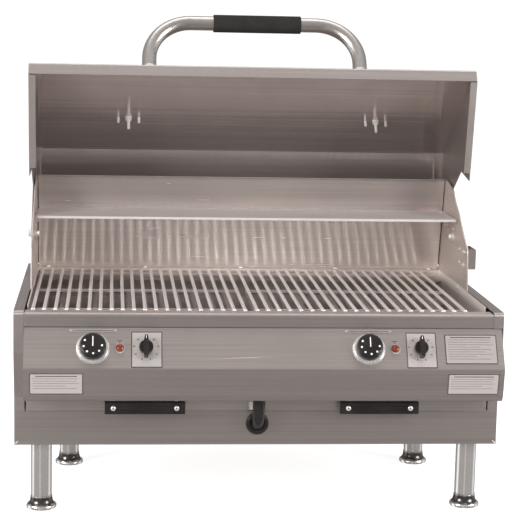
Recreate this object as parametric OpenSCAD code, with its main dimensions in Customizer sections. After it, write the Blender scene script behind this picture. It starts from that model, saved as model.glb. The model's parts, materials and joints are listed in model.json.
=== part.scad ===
// Electric tabletop charbroiler grill with an open hinged hood.
// Working frame of the modules: X across, Y back from the front tips of the grate rods,
// Z up from the top of the grate rods. place() moves it to the stored frame, whose origin is
// on the floor under the middle of the whole grill.

/* [Body] */
// Width over the side panels
body_w = 816; // [790:1:840]
// Distance from the grate's front tips to the rear wall
body_d = 470; // [452:1:474]
// Height of the upper body, from the base pan to the grate top
body_h = 172; // [170:1:180]
// Height of the base pan
base_h = 58; // [50:1:80]
// Clear height under the base pan
leg_h = 117; // [95:1:130]
// Sheet thickness of the body
sheet = 1.5; // [1.2:0.1:1.8]
// Width of the flanges on the side panels
flange_w = 17; // [15:1:17]

/* [Hood] */
// Angle between the open and the closed hood
hood_angle = 80; // [70:1:80]
// Thickness of the fixed side plates and the hood end plates
plate_t = 2; // [1.5:0.5:2]
// Radius of the hood pivot bolts
pivot_r = 4; // [3:0.5:5]
// Diameter of the hood handle tube
handle_d = 25.4; // [20:0.1:28]
// Length of the handle's grip
grip_l = 157; // [120:1:180]

/* [Grates] */
// Number of rods in one grate
rod_count = 20; // [16:1:20]
// Rod diameter
rod_d = 6; // [5:0.5:8]
// Distance between rod centres
rod_pitch = 18.6; // [16:0.1:18.6]
// Length of the rods
rod_l = 420; // [400:1:422]

/* [Controls] */
// Radius of a thermostat knob
thermostat_r = 21.5; // [18:0.5:24]
// Radius of the bright dial ring behind it
dial_r = 27.5; // [25:0.5:28]
// Distance between the left and the right set of controls
control_gap = 456; // [440:1:470]

/* [Drip trays] */
// Height of a tray front
tray_front_h = 21.8; // [18:0.1:21.8]
// Depth of a tray
tray_d = 400; // [360:1:420]
// Length of a tray handle bar
tray_bar_l = 133; // [110:1:140]

/* [Legs] */
// Diameter of a leg tube
leg_d = 35; // [28:1:38]
// Diameter of a foot
foot_d = 51; // [45:1:56]

/* [Hidden] */
$fn = 48;

half_w = body_w / 2;
steel = "silver";
dark_steel = "gray";
black = [0.08, 0.08, 0.08];
tiny = 0.01;                       // overlap that joins solids of one piece
cut = 1;                           // how far a cutting tool runs past a surface
play = 0.1;                        // gap around a pin or tube in its hole
rest_gap = 0.3;                    // gap under pieces that lift off
total_h = leg_h + base_h + body_h;
mid_y = 209;                       // Y of the stored origin in the working frame

// Upright planes, as distances from the middle
plate_x = half_w - flange_w - 1;   // outer face of the fixed side plates
liner_x = plate_x - plate_t;       // outer face of the firebox liner
hood_x = half_w - 13.5;            // outer face of the hood ends
box_x = [17.5 - half_w, half_w - 3]; // ends of the control box

// Heights and depths of the body, in the working frame
front_y = -33;                     // face of the front rail
base_y = -11;                      // face of the base pan and the drip trays
rail_top = -2;
rail_bottom = -25.2;
side_top = 1.5;                    // top of the side panels
ledge_z = -rod_d - rest_gap;       // ledges that carry the grates
ledge_front = 16;
ledge_rear = 398;
step_y = 424;                      // step behind the grates
liner_front = 18;
liner_rear = 444;
box_bottom = -146;                 // underside of the control box
side_foot_z = -148;                // the side panels are plumb below it
tray_top = -150;

// Profile of the control fascia
face_top = [-31, -25.5];
face_fold = [-68, -88];
face_knee = [-61.2, -134];
face_foot = [-56, box_bottom];
face_tilt = atan2(face_top[0] - face_fold[0], face_top[1] - face_fold[1]);
control_s = 37;                    // distance of the control row below the face's top edge
left_control_x = -278;
lamp_dx = 44;
timer_dx = 87;

// Hood, drawn closed: front lip, front fold, rear edge and pivot
pivot = [315, 82];
lip_in = [1, 6];
lip_out = [-16, 20.6];
hood_fold = [195, 245];
hood_back = [425, 245];
hood_tail = [425, 234];
front_slope = atan2(hood_fold[1] - lip_out[1], hood_fold[0] - lip_out[0]);
handle_half = 187;
handle_mid_x = 2;
handle_up = 100;                   // height of the handle tube over the hood front
handle_bend = 75;
handle_s = 22;                     // distance of the handle legs from the lip
handle_wall = 1.6;
grip_dx = 6;                       // the grip sits off the handle's middle

// Drip trays: ends of each one
left_tray_x = [-388.5, -18];
right_tray_x = [10.5, 388.5];
left_bar_x = -191.5;
right_bar_x = 201;
bar_screw_gap = 105;
cable_x = -2;
cable_r = 9.8;
cable_y = -30;
cable_bend = 17;
bushing_z = -193;
front_leg = [364, 22];
rear_leg = [324, 300];

// ---------- helpers ----------
function unit(v) = v / norm(v);
function left_of(v) = [-v[1], v[0]];
function turned(p, a) = [p[0] * cos(a) - p[1] * sin(a), p[0] * sin(a) + p[1] * cos(a)];

// Arc of radius r that rounds the corner b between a and c
function corner(a, b, c, r, n = 6) =
  let (u = unit(a - b), w = unit(c - b), half = acos(u * w) / 2,
       o = b + unit(u + w) * r / sin(half), p = b + u * r / tan(half), q = b + w * r / tan(half),
       a0 = atan2(p[1] - o[1], p[0] - o[0]), a1 = atan2(q[1] - o[1], q[0] - o[0]),
       sweep = ((a1 - a0 + 540) % 360) - 180)
  [for (i = [0:n]) o + r * [cos(a0 + sweep * i / n), sin(a0 + sweep * i / n)]];

// Open path with each inner corner i rounded to radius r[i]
function bent(p, r) = [for (i = [0:len(p) - 1])
  each ((i == 0 || i == len(p) - 1 || r[i] == 0) ? [p[i]] : corner(p[i - 1], p[i], p[i + 1], r[i]))];

// The same path moved sideways by t, to its left where t is positive
function shifted(p, t) = [for (i = [0:len(p) - 1])
  let (j = max(i, 1), k = min(i + 1, len(p) - 1), d = left_of(unit(p[j] - p[j - 1])),
       e = left_of(unit(p[k] - p[k - 1])), m = unit(d + e)) p[i] + m * t / (m * d)];

function backwards(p) = [for (i = [len(p) - 1:-1:0]) p[i]];
function ribbon(p, t) = concat(p, backwards(shifted(p, t)));

// Extrudes a (Y, Z) outline from x0 to x1
module across(outline, x0, x1) {
  translate([x0, 0, 0]) rotate([90, 0, 90]) linear_extrude(x1 - x0) polygon(outline);
}

module block(lo, hi) { translate(lo) cube(hi - lo); }

module place() { translate([0, -mid_y, total_h]) children(); }

module on_side(side) { if (side < 0) mirror([1, 0, 0]) children(); else children(); }

// Cylinder along X, Y
module rod_x(x0, x1, y, z, r) { translate([x0, y, z]) rotate([0, 90, 0]) cylinder(r = r, h = x1 - x0); }
module rod_y(x, y0, y1, z, r) { translate([x, y0, z]) rotate([-90, 0, 0]) cylinder(r = r, h = y1 - y0); }

// Low round head of a rivet or screw, standing on z = 0
module round_head(r) {
  rotate_extrude() polygon([[0, 0], [r, 0], [r * 0.92, r * 0.28], [r * 0.62, r * 0.52], [0, r * 0.62]]);
}

// Puts children on the sloping control face: local Z points out of it, local Y points up it
module on_face(x, s) {
  translate([x, face_top[0] - s * sin(face_tilt), face_top[1] - s * cos(face_tilt)])
    rotate([90 - face_tilt, 0, 0]) children();
}

module on_hood() {
  translate([0, pivot[0], pivot[1]]) rotate([-hood_angle, 0, 0])
    translate([0, -pivot[0], -pivot[1]]) children();
}

module on_hood_front(x, s) {
  on_hood() translate([x, lip_out[0] + s * cos(front_slope), lip_out[1] + s * sin(front_slope)])
    rotate([front_slope, 0, 0]) children();
}

// ---------- body ----------
module base_pan() {
  color(steel) place() difference() {
    block([-half_w, base_y, -body_h - base_h], [half_w, body_d, -body_h]);
    block([-half_w + sheet, base_y + sheet, -body_h - base_h + sheet],
          [half_w - sheet, body_d - sheet, cut - body_h]);
    rod_y(cable_x, base_y - cut, base_y + sheet + cut, bushing_z, cable_r + 0.4);
    rod_y(inlet_x, body_d - sheet - cut, body_d + cut, bushing_z, inlet_thread_r + play);
    for (p = leg_spots)
      translate([p[0], p[1], -body_h - base_h - cut]) cylinder(r = leg_d / 2 + 0.15, h = sheet + 2 * cut);
  }
}

// Front edge of the side panels, from the rear of the top down to the base pan
side_bend_z = -70;
side_edge = [[body_d - sheet, side_top], [front_y, side_top], [front_y, side_bend_z], [base_y, side_foot_z],
  [base_y, -body_h]];
side_corner_r = 7;
side_bend_r = 8;
side_radii = [0, side_corner_r, side_bend_r, side_bend_r, 0];

// The right flange is cut off where the control box covers it, the left one runs all the way down
module side_panel(side) {
  top_flange = bent([side_edge[0], side_edge[1], [front_y, rail_bottom]], [0, side_corner_r, 0]);
  color(steel) place() on_side(side) union() {
    across(concat(bent(side_edge, side_radii), [[body_d, -body_h], [body_d, side_top]]),
           half_w - sheet, half_w);
    if (side < 0)
      across(ribbon(bent(side_edge, side_radii), sheet), half_w - flange_w, half_w - sheet / 2);
    else {
      across(ribbon(top_flange, sheet), half_w - flange_w, half_w - sheet / 2);
      block([half_w - flange_w, base_y, -body_h], [half_w - sheet / 2, base_y + sheet, side_foot_z]);
    }
  }
}
module left_side_panel() { side_panel(-1); }
module right_side_panel() { side_panel(1); }

module rear_wall() {
  x = half_w - sheet;
  top = side_top - sheet;
  path = [[body_d, -body_h], [body_d, top], [liner_rear, top]];
  color(steel) place() across(ribbon(path, sheet), -x, x);
}

// Front rail, bent from one sheet: face, top, step down to the grate ledge and the ledge's stiffening edge
rail_hem = 5;
rail_step_y = -3;
rail_foot_z = -20;
bend_r = 1.6;
rail_nose_r = 5;

module front_rail() {
  x = half_w - flange_w - 0.5;
  path = [[front_y + rail_hem, rail_bottom], [front_y, rail_bottom], [front_y, rail_top],
    [rail_step_y, rail_top], [rail_step_y, ledge_z], [ledge_front, ledge_z], [ledge_front, rail_foot_z]];
  color(steel) place()
    across(ribbon(bent(path, [0, bend_r, rail_nose_r, bend_r, 0, bend_r, 0]), -sheet), -x, x);
}

fascia_path = [[-14, face_top[1]], face_top, face_fold, face_knee, face_foot, [-12.5, box_bottom]];
fascia_radii = [0, 2, 5, 10, 14, 0];
face_hole_depth = 3;

module control_fascia() {
  profile = bent(fascia_path, fascia_radii);
  color(steel) place() difference() {
    union() {
      across(ribbon(profile, sheet), box_x[0], box_x[1]);
      for (x = [box_x[0], box_x[1] - sheet]) across(profile, x, x + sheet);
    }
    for (set = [0, 1]) {
      x = left_control_x + set * control_gap;
      for (hole = [[0, bushing_r], [lamp_dx, lamp_r], [timer_dx, bushing_r]])
        on_face(x + hole[0], control_s) translate([0, 0, -face_hole_depth])
          cylinder(r = hole[1] + play, h = 2 * face_hole_depth);
    }
    translate([cable_x, cable_y, box_bottom - cut]) cylinder(r = gland_r + play, h = sheet + 2 * cut);
  }
}

box_back_y = -12;
box_edge = 2;                      // gap between the box's back plate and its walls

module control_back_plate() {
  color(dark_steel) place() difference() {
    block([box_x[0] + box_edge, box_back_y, box_bottom + box_edge],
          [box_x[1] - box_edge, box_back_y + sheet, face_top[1] - box_edge]);
    for (e = [0, 1]) element_ends(e)
      rod_y(0, box_back_y - cut, box_back_y + sheet + cut, element_z, terminal_r + 0.2);
  }
}

liner_front_top = -10.2;
liner_hem_z = -18;

module firebox_liner() {
  x = liner_x;
  rear = [[liner_rear, box_bottom], [liner_rear, 0], [step_y, 0], [step_y, ledge_z], [ledge_rear, ledge_z],
    [ledge_rear, liner_hem_z]];
  color(dark_steel) place() difference() {
    union() {
      for (side = [-1, 1]) on_side(side) block([x - sheet, liner_front, box_bottom], [x, liner_rear, 2]);
      block([-x, liner_front, box_bottom], [x, liner_front + sheet, liner_front_top]);
      across(ribbon(rear, sheet), -x, x);
    }
    for (e = [0, 1]) element_ends(e)
      rod_y(0, liner_front - cut, liner_front + sheet + cut, element_z, terminal_r + 0.2);
  }
}

// Sheet with drain slots under the elements
slot_count = 13;
slot_pitch = 58;
slot_half = 5;
slot_y = [60, 404];

module heat_reflector() {
  x = liner_x - sheet;
  color(dark_steel) place() difference() {
    block([-x, liner_front + sheet, reflector_z - sheet], [x, liner_rear - sheet, reflector_z]);
    for (i = [0:slot_count - 1]) translate([(i - (slot_count - 1) / 2) * slot_pitch, 0, 0])
      block([-slot_half, slot_y[0], reflector_z - sheet - cut], [slot_half, slot_y[1], reflector_z + cut]);
  }
}

// ---------- heating elements ----------
element_z = -38;
element_r = 5;
element_pitch = 30;
element_runs = 12;
terminal_r = 5.6;
terminal_y = [-20, 28];
reflector_z = -80;
element_bend_y = [48, 378];
grate_seam = -14.6;                // X of the seam between the two grates
seam_gap = 1.6;
element_mid = [for (e = [-1, 1]) grate_mid(e)];

// Moves children to both end runs of element e
module element_ends(e) {
  for (i = [0, element_runs - 1])
    translate([element_mid[e] + (i - (element_runs - 1) / 2) * element_pitch, 0, 0]) children();
}

module heating_element(e) {
  color(dark_steel) place() union() {
    for (i = [0:element_runs - 1])
      rod_y(element_mid[e] + (i - (element_runs - 1) / 2) * element_pitch,
            element_bend_y[0], element_bend_y[1], element_z, element_r);
    for (i = [0:element_runs - 2]) {
      at_back = i % 2 == 0;
      translate([element_mid[e] + (i - element_runs / 2 + 1) * element_pitch,
                 element_bend_y[at_back ? 1 : 0], element_z])
        rotate([0, 0, at_back ? 0 : 180]) rotate_extrude(angle = 180)
          translate([element_pitch / 2, 0]) circle(r = element_r);
    }
    element_ends(e) rod_y(0, terminal_y[0], element_bend_y[0] + tiny, element_z, element_r);
    element_ends(e) rod_y(0, terminal_y[0], terminal_y[1], element_z, terminal_r);
  }
}
module left_heating_element() { heating_element(0); }
module right_heating_element() { heating_element(1); }

support_y = [70, 212, 354];
support_h = 12;
support_t = 3;

module element_supports() {
  x = liner_x - sheet;
  top = element_z - element_r;
  color(dark_steel) place() for (y = support_y)
    block([-x, y, top - support_h], [x, y + support_t, top]);
}

// ---------- grates ----------
function grate_mid(side) = grate_seam + side * (seam_gap / 2 + rod_pitch * rod_count / 2);

cross_bar_y = [24, 212, 391];      // front edges of the cross bars under the rods
cross_bar_t = 5;
cross_bar_h = 3.2;                 // height of a bar below the rods

module grate(side) {
  mid = grate_mid(side);
  span = rod_pitch * (rod_count - 1) / 2;
  color(steel) place() union() {
    for (i = [0:rod_count - 1]) rod_y(mid - span + i * rod_pitch, 0, rod_l, -rod_d / 2, rod_d / 2);
    for (y = cross_bar_y)
      block([mid - span - rod_d / 2, y, -rod_d - cross_bar_h],
            [mid + span + rod_d / 2, y + cross_bar_t, -rod_d + 1]);
  }
}
module left_grate() { grate(-1); }
module right_grate() { grate(1); }

// ---------- fixed wind guard, shelf ----------
guard = [[441, -24], [441, 2], [403, 181], [372, 178], [326, 168], [297, 146], [260, 127], [219, 98], [183, 76],
  [174, 5], [174, -24]];
guard_radii = [0, 0, 6, 20, 30, 30, 30, 20, 14, 0, 0, 0];

module side_plate(side) {
  color(steel) place() on_side(side) difference() {
    across(bent(concat(guard, [guard[0]]), guard_radii), liner_x, plate_x);
    rod_x(liner_x - cut, plate_x + cut, pivot[0], pivot[1], pivot_r + play);
  }
}
module left_side_plate() { side_plate(-1); }
module right_side_plate() { side_plate(1); }

module back_panel() {
  x = liner_x - sheet - 2 * play;
  path = [[step_y + 2, sheet], [440, sheet], [402, 178], [391, 180]];
  color(steel) place() across(ribbon(bent(path, [0, 2, 2, 0]), -sheet), -x, x);
}

shelf_z = 120;
shelf_y = [266, 399];
shelf_lip = 5;                     // height of its turned-down edges
shelf_hem = 5;
shelf_end_gap = 5;
shelf_bend_r = 2.2;

module warming_shelf() {
  x = liner_x - shelf_end_gap;
  low = shelf_z - shelf_lip;
  path = [[shelf_y[0] + shelf_hem, low], [shelf_y[0], low], [shelf_y[0], shelf_z], [shelf_y[1], shelf_z],
    [shelf_y[1], low]];
  color(steel) place()
    across(ribbon(bent(path, [0, shelf_bend_r, shelf_bend_r, shelf_bend_r, 0]), -sheet), -x, x);
}

// Riveted lugs that carry the shelf, two on each side plate
lug_y = [313, 369];
lug_half = 20;
lug_bottom = 92;
lug_reach = 16;
lug_corner_r = 10;

module shelf_brackets() {
  top = shelf_z - sheet - rest_gap;
  color(steel) place() for (side = [-1, 1], y = lug_y) on_side(side) union() {
    across(bent([[y - lug_half, top], [y - lug_half, lug_bottom], [y + lug_half, lug_bottom],
      [y + lug_half, top]], [0, lug_corner_r, lug_corner_r, 0]), liner_x - sheet, liner_x);
    block([liner_x - lug_reach, y - lug_half, top - sheet], [liner_x, y + lug_half, top]);
  }
}

// Open box outside the right side plate for a rotisserie motor
bracket_y = [200, 252];
bracket_z = [38, 74];
bracket_out = 18;
motor_hole_r = 3.25;
motor_hole_gap = 20;

module motor_bracket() {
  color(steel) place() difference() {
    block([plate_x, bracket_y[0], bracket_z[0]], [plate_x + bracket_out, bracket_y[1], bracket_z[1]]);
    block([plate_x + sheet, bracket_y[0] + sheet, bracket_z[0] - cut],
          [plate_x + bracket_out - sheet, bracket_y[1] - sheet, bracket_z[1] + cut]);
    for (k = [-1, 1]) rod_x(plate_x + bracket_out - sheet - cut, plate_x + bracket_out + cut,
      (bracket_y[0] + bracket_y[1]) / 2, (bracket_z[0] + bracket_z[1] + k * motor_hole_gap) / 2, motor_hole_r);
  }
}

// ---------- hood ----------
hood_path = [lip_in, lip_out, hood_fold, hood_back, hood_tail];
hood_radii = [0, 4, 9, 3, 0];
boss_r = 24;                       // round boss of a hood end, around its pivot
boss_chord = 7;                    // the boss's flat edge, below the pivot
end_edge = [[pivot[0] + boss_r, pivot[1] - boss_chord], [pivot[0] - boss_r, pivot[1] - boss_chord], [239, 136],
  [186, 76], [184, 4], [2, 4]];
end_flange = [10, 167];            // width and length of the flange along a hood end's lower edge

module hood_shell() {
  color(steel) place() on_hood() across(ribbon(bent(hood_path, hood_radii), -sheet), -hood_x, hood_x);
}

module hood_end(side) {
  inner = shifted(bent(hood_path, hood_radii), -sheet);
  color(steel) place() on_hood() on_side(side) difference() {
    union() {
      across(concat(inner, end_edge), hood_x - plate_t, hood_x);
      rod_x(hood_x - plate_t, hood_x, pivot[0], pivot[1], boss_r);
      block([hood_x - plate_t - end_flange[0], 3, 4], [hood_x - plate_t + tiny, 3 + end_flange[1], 4 + sheet]);
    }
    rod_x(hood_x - plate_t - cut, hood_x + cut, pivot[0], pivot[1], pivot_r + 0.06);
  }
}
module left_hood_end() { hood_end(-1); }
module right_hood_end() { hood_end(1); }

module handle_section() {
  difference() {
    circle(r = handle_d / 2);
    circle(r = handle_d / 2 - handle_wall);
  }
}

module hood_handle() {
  leg = handle_up - handle_bend;
  top_half = handle_half - handle_bend;
  color(steel) place() on_hood_front(handle_mid_x, handle_s) union() {
    for (a = [0, 180]) rotate([0, 0, a]) {
      translate([handle_half, 0, 0]) linear_extrude(leg) handle_section();
      translate([top_half, 0, leg]) rotate([90, 0, 0])
        rotate_extrude(angle = 90) translate([handle_bend, 0]) handle_section();
    }
    translate([-top_half, 0, handle_up]) rotate([0, 90, 0]) linear_extrude(2 * top_half) handle_section();
  }
}

sleeve_r = handle_d / 2 + 0.05;    // bore of the collars and the grip
collar = [[0, 0], [4, 0], [4, 3], [2.5, 6], [0, 7]];
grip_wall = 2.9;
grip_chamfer = 1;

module handle_flanges() {
  color(steel) place() on_hood_front(handle_mid_x, handle_s) for (side = [-1, 1])
    translate([side * handle_half, 0, 0]) rotate_extrude() translate([sleeve_r, 0]) polygon(collar);
}

module handle_grip() {
  end = grip_l / 2;
  c = grip_chamfer;
  color(black) place() on_hood_front(handle_mid_x + grip_dx, handle_s) translate([0, 0, handle_up])
    rotate([0, 90, 0]) rotate_extrude() translate([sleeve_r, 0])
      polygon([[0, -end], [grip_wall - c, -end], [grip_wall, c - end], [grip_wall, end - c],
        [grip_wall - c, end], [0, end]]);
}

// Bolts with a short pin on each side, inside the hood front
nut_x = 230;
nut_mid_x = 11;
nut_s = 188;
washer = [6, 1.2];                 // radius and height of each
nut = [5.5, 5];
bolt = [2.7, 24];
side_pin = [2.3, 11];
side_pin_x = 19;

// Round pin with a chamfered end, standing on z = 0
module pin(r, h) { rotate_extrude() polygon([[0, 0], [r, 0], [r, h - 1], [r - 1, h], [0, h]]); }

module hood_inner_nuts() {
  color(steel) place() for (side = [-1, 1]) on_hood_front(nut_x * side + nut_mid_x, nut_s)
    translate([0, 0, -sheet]) mirror([0, 0, 1]) {
      union() {
        cylinder(r = washer[0], h = washer[1]);
        translate([0, 0, washer[1] - tiny]) cylinder(r = nut[0], h = nut[1], $fn = 6);
        pin(bolt[0], bolt[1]);
      }
      for (k = [-1, 1]) translate([side_pin_x * k, 0, 0]) pin(side_pin[0], side_pin[1]);
    }
}

module at_pivots() {
  for (side = [-1, 1]) on_side(side) translate([0, pivot[0], pivot[1]]) rotate([0, 90, 0]) children();
}

hood_gap = 0.4;                    // gap on each side of a hood end

module pivot_bolts() {
  tip = liner_x - 6;
  head = hood_x + hood_gap;
  color(steel) place() at_pivots() rotate_extrude()
    polygon([[0, tip], [pivot_r, tip], [pivot_r, head], [8, head], [8, head + 1.5], [6.5, head + 1.5],
      [6.5, head + 5], [5.5, head + 6], [0, head + 6]]);
}

// Inner cap nut and the spacer between plate and hood end, both on the pivot bolt
module pivot_nuts() {
  bore = pivot_r + 0.05;
  tip = liner_x - 8;
  spacer_end = hood_x - plate_t - hood_gap;
  color(steel) place() at_pivots() rotate_extrude() {
    polygon([[bore, liner_x], [bore, tip + 1.95], [0, tip + 1.95], [0, tip], [3, tip + 0.3], [5.6, tip + 1.6],
      [6.5, tip + 3.4], [6.5, liner_x - 1.5], [9, liner_x - 1.5], [9, liner_x]]);
    polygon([[bore, plate_x], [8, plate_x], [8, spacer_end], [bore, spacer_end]]);
  }
}

// Pins on the side plates, under the open hood's ends
stop_r = 5;
stop_along = 74;                   // distance of the pin from the hood's tail
stop_edge = [hood_tail, end_edge[0]];
stop_dir = unit(stop_edge[1] - stop_edge[0]);
stop_closed = stop_edge[0] + stop_dir * stop_along + left_of(stop_dir) * (stop_r + hood_gap);
stop_open = pivot + turned(stop_closed - pivot, -hood_angle);

module hood_stops() {
  color(steel) place() for (side = [-1, 1]) on_side(side)
    rod_x(plate_x, hood_x + 1, stop_open[0], stop_open[1], stop_r);
}

// ---------- controls ----------
bushing_r = 5;
lamp_r = 6;
spindle_r = 3;
spindle_depth = 16;                // how far a spindle runs behind the face
knob_base = 7;                     // height of a thermostat knob's back over the face
gland_r = 12;
dial_profile = [[bushing_r + 0.3, 0], [dial_r, 0], [dial_r, 1.5], [dial_r - 2.5, 4.5], [dial_r - 6, 5],
  [bushing_r + 0.3, 5]];
knob_profile = [[0, 0], [thermostat_r, 0], [thermostat_r, 9], [thermostat_r - 1.5, 11.5],
  [thermostat_r - 4, 12.5], [0, 12.5]];
bezel_profile = [[lamp_r - 1, -24], [lamp_r, -24], [lamp_r, 0], [8.8, 0], [8.8, 0.8], [8, 1.8],
  [lamp_r - 1, 1.8]];

module both_controls(dx) {
  for (set = [0, 1]) on_face(left_control_x + set * control_gap + dx, control_s) children();
}

module thermostat_dials() {
  color("gainsboro") place() both_controls(0) rotate_extrude() polygon(dial_profile);
}

module thermostat_knob(set) {
  color(black) place() on_face(left_control_x + set * control_gap, control_s) union() {
    translate([0, 0, knob_base]) rotate_extrude() polygon(knob_profile);
    translate([0, 0, -spindle_depth]) cylinder(r = spindle_r, h = spindle_depth + knob_base + 1);
  }
}
module left_thermostat_knob() { thermostat_knob(0); }
module right_thermostat_knob() { thermostat_knob(1); }

// Switch body behind the face with the threaded bushing that carries its spindle
module switch_body(size, nose) {
  difference() {
    union() {
      translate([-size[0] / 2, -size[1] / 2, -sheet - size[2]]) cube(size);
      translate([0, 0, -sheet - 1]) cylinder(r = bushing_r, h = sheet + 1 + nose);
    }
    translate([0, 0, -spindle_depth - cut]) cylinder(r = spindle_r + 0.06, h = 2 * spindle_depth);
  }
}

module thermostats() { color("dimgray") place() both_controls(0) switch_body([44, 40, 26], 6); }
module timers() { color("dimgray") place() both_controls(timer_dx) switch_body([40, 40, 26], 4.5); }

module pilot_lamp_bezels() {
  color("whitesmoke") place() both_controls(lamp_dx) rotate_extrude() polygon(bezel_profile);
}

lens_r = 6.7;
lens_base = 3.6;
lens_rise = 3.2;

module pilot_lamp_lenses() {
  r = lamp_r - 1.1;
  color("orangered") place() both_controls(lamp_dx) rotate_extrude()
    polygon(concat([[0, -10], [r, -10], [r, 2], [lens_r, 2], [lens_r, lens_base]],
      [for (a = [15:15:90]) [lens_r * cos(a), lens_base + lens_rise * sin(a)]]));
}

timer_plate = [[-24.5, -33.4, 0], [26.5, 28.8, 1.2]];

module timer_plates() {
  color("gainsboro") place() both_controls(timer_dx) difference() {
    block(timer_plate[0], timer_plate[1]);
    translate([0, 0, -cut]) cylinder(r = bushing_r + 0.3, h = timer_plate[1][2] + 2 * cut);
  }
}

// Timer knob: a round skirt with a tapered bar across it
timer_skirt = [11.5, 6];
timer_base = 5.2;
timer_bar_z = 6;
timer_bar_h = 14;
timer_bar = [[-3.4, -18], [3.4, -18], [4.4, -9], [4.4, 7], [2.2, 17.5], [-2.2, 17.5], [-4.4, 7], [-4.4, -9]];

module timer_knob(set) {
  color(black) place() on_face(left_control_x + set * control_gap + timer_dx, control_s) union() {
    translate([0, 0, timer_base]) cylinder(r = timer_skirt[0], h = timer_skirt[1]);
    translate([0, 0, timer_bar_z]) linear_extrude(timer_bar_h) polygon(timer_bar);
    translate([0, 0, -spindle_depth]) cylinder(r = spindle_r, h = spindle_depth + timer_bar_z);
  }
}
module left_timer_knob() { timer_knob(0); }
module right_timer_knob() { timer_knob(1); }

// Blank plates: one large on the control face, a strip over each thermostat, two on the face below
plate_sheet = 0.8;
large_plate = [88, 51.6];
large_plate_at = [350, 37.2];
strip = [80, 5.2];
strip_s = 6.2;
low_plates = [[-337, 87], [353, 86]]; // X and width of each
low_plate_h = 36.4;
low_plate_foot = -20.7;

module data_plates() {
  drop = atan2(face_fold[0] - face_knee[0], face_fold[1] - face_knee[1]);
  low_mid = (face_fold + face_knee) / 2;
  color("whitesmoke") place() {
    on_face(large_plate_at[0], large_plate_at[1]) plate(large_plate);
    for (set = [0, 1]) on_face(left_control_x + set * control_gap, strip_s) plate(strip);
    for (p = low_plates) translate([p[0], low_mid[0], low_mid[1]]) rotate([90 - drop, 0, 0])
      translate([0, low_plate_foot + low_plate_h / 2, 0]) plate([p[1], low_plate_h]);
  }
}

module plate(size) { translate([-size[0] / 2, -size[1] / 2, 0]) cube([size[0], size[1], plate_sheet]); }

// ---------- drip trays ----------
tray_floor = -170;
tray_wall = 1.2;
runner_y = [-8, 450];
runner_w = 27;
middle_runner = [13.8, 20];        // half widths of its upright part and its foot

module tray_runners() {
  shelf = tray_floor - rest_gap;
  mid = (left_tray_x[1] + right_tray_x[0]) / 2;
  x = half_w - sheet;
  color(dark_steel) place() {
    for (side = [-1, 1]) on_side(side) {
      block([x - runner_w, runner_y[0], shelf - tray_wall], [x, runner_y[1], shelf]);
      block([x - tray_wall, runner_y[0], shelf - tiny], [x, runner_y[1], tray_top]);
    }
    block([mid - middle_runner[0], runner_y[0], shelf],
          [mid + middle_runner[0], runner_y[1], tray_top + 1]);
    block([mid - middle_runner[1], runner_y[0], shelf - tray_wall],
          [mid + middle_runner[1], runner_y[1], shelf]);
  }
}

tray_inset = 1.5;                  // the front covers the tray's body by this much

module drip_tray(span) {
  lo = span[0] + tray_inset;
  hi = span[1] - tray_inset;
  color(steel) place() union() {
    difference() {
      block([lo, base_y + sheet - tiny, tray_floor], [hi, base_y + tray_d, tray_top - tray_inset]);
      block([lo + tray_wall, base_y + sheet + 1, tray_floor + tray_wall],
            [hi - tray_wall, base_y + tray_d - tray_wall, tray_top]);
    }
    block([span[0], base_y, tray_top - tray_front_h], [span[1], base_y + sheet, tray_top]);
  }
}
module left_drip_tray() { drip_tray(left_tray_x); }
module right_drip_tray() { drip_tray(right_tray_x); }

bar_z = -161;
bar_h = 20;
bar_y = [-38, -27];
bar_foot_r = 6.5;
tray_screw_r = 2.5;
tray_screw_l = 26;
tray_screw_head_r = 4.4;

module tray_handle(x) {
  screw_x = [for (k = [-1, 1]) x + k * bar_screw_gap / 2];
  color(black) place() difference() {
    union() {
      block([x - tray_bar_l / 2, bar_y[0], bar_z - bar_h / 2],
            [x + tray_bar_l / 2, bar_y[1], bar_z + bar_h / 2]);
      for (at = screw_x) rod_y(at, bar_y[1] - 1, base_y, bar_z, bar_foot_r);
    }
    for (at = screw_x) rod_y(at, bar_y[0] - cut, base_y + cut, bar_z, tray_screw_r + play);
  }
}
module left_tray_handle() { tray_handle(left_bar_x); }
module right_tray_handle() { tray_handle(right_bar_x); }

module tray_screws(x) {
  color(steel) place() for (k = [-1, 1])
    translate([x + k * bar_screw_gap / 2, bar_y[0], bar_z]) rotate([90, 0, 0]) {
      round_head(tray_screw_head_r);
      translate([0, 0, -tray_screw_l]) cylinder(r = tray_screw_r, h = tray_screw_l + tiny);
    }
}
module tray_handle_screws_left() { tray_screws(left_bar_x); }
module tray_handle_screws_right() { tray_screws(right_bar_x); }

// ---------- cable between the control box and the base ----------
inlet_x = 250;
inlet_r = 9;
inlet_thread_r = inlet_r + 3;
inlet_nut = [17, 5];               // corner radius and height
inlet_dome = [14, 20];             // radius, and how far it stands out of the rear
cable_top = -128;
cable_end_y = 24;
lock_nut = [16, 5];

module supply_cable() {
  color(black) place() union() {
    translate([cable_x, cable_y, bushing_z + cable_bend])
      cylinder(r = cable_r, h = cable_top - bushing_z - cable_bend);
    translate([cable_x, cable_y + cable_bend, bushing_z + cable_bend]) rotate([180, 0, 0]) rotate([90, 0, 90])
      rotate_extrude(angle = 90) translate([cable_bend, 0]) circle(r = cable_r);
    rod_y(cable_x, cable_y + cable_bend - tiny, cable_end_y, bushing_z, cable_r);
  }
}

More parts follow.
